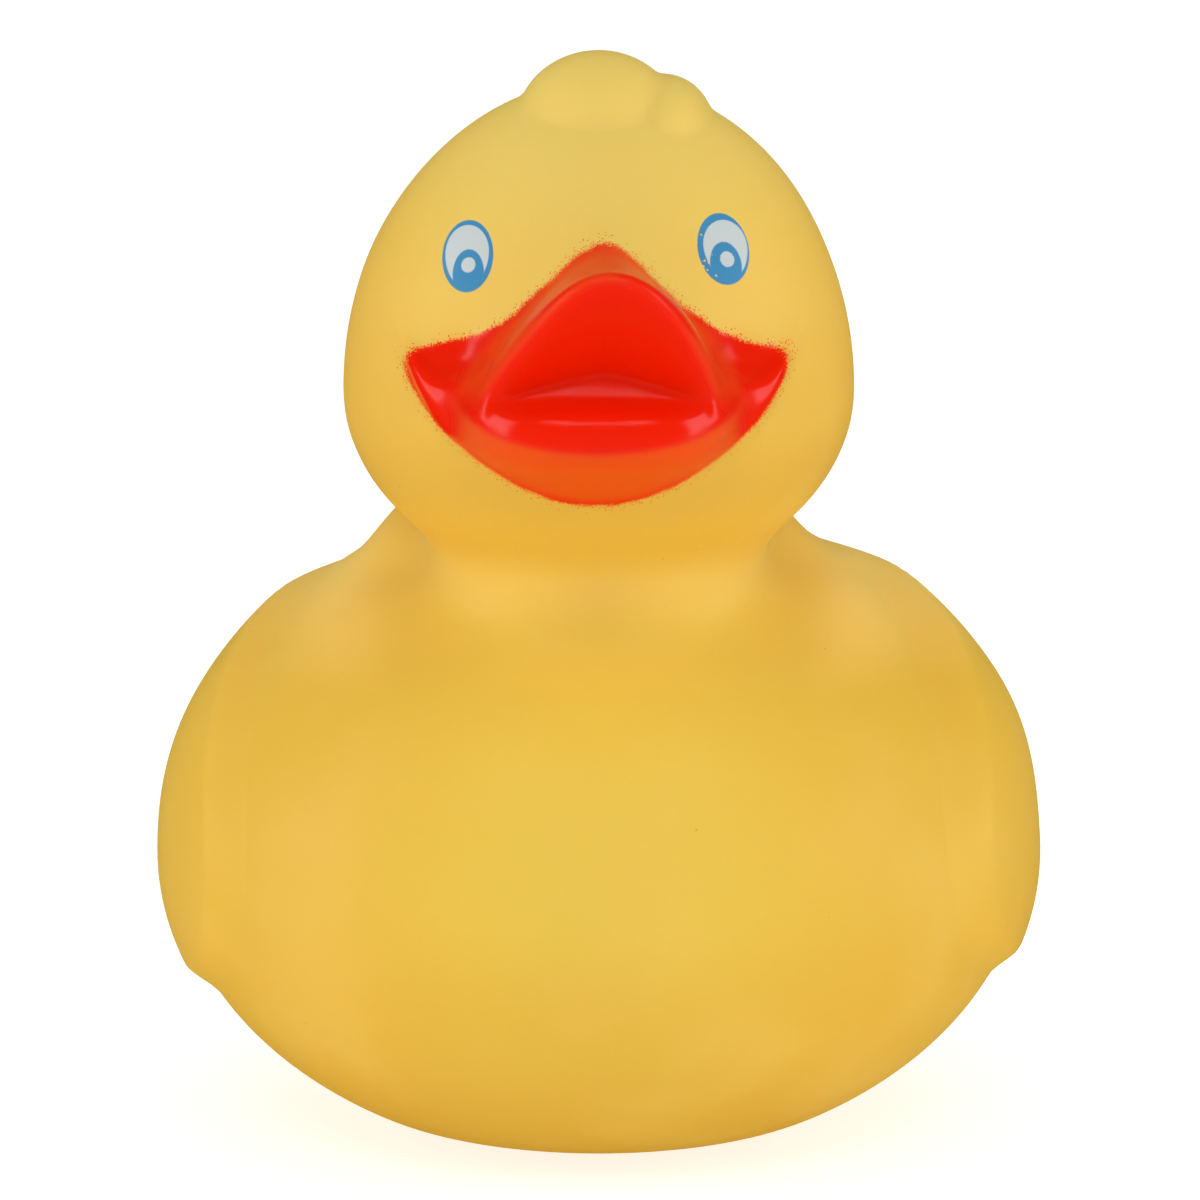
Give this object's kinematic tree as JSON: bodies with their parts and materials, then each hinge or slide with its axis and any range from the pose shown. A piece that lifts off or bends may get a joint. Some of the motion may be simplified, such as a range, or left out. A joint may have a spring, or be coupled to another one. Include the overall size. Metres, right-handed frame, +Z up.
{
  "type": "rubber duck",
  "caption": "Hollow soft vinyl bath duck standing on a flat base, with an open bill, raised wings, an upturned tail and a tuft on the head.",
  "frame": {"origin": "under the middle of the duck, on the plane it stands on", "axes": "+Z up, the duck faces -Y, +X to the right of someone who faces the duck"},
  "size_m": [0.0729, 0.0916, 0.0897],
  "materials": {
    "yellow_vinyl": "satin rotocast soft vinyl, translucent yellow, with a sprayed red-orange bill and pad-printed eyes"
  },
  "bodies": {
    "root": {"duck_body": "yellow_vinyl"}
  },
  "joints": []
}
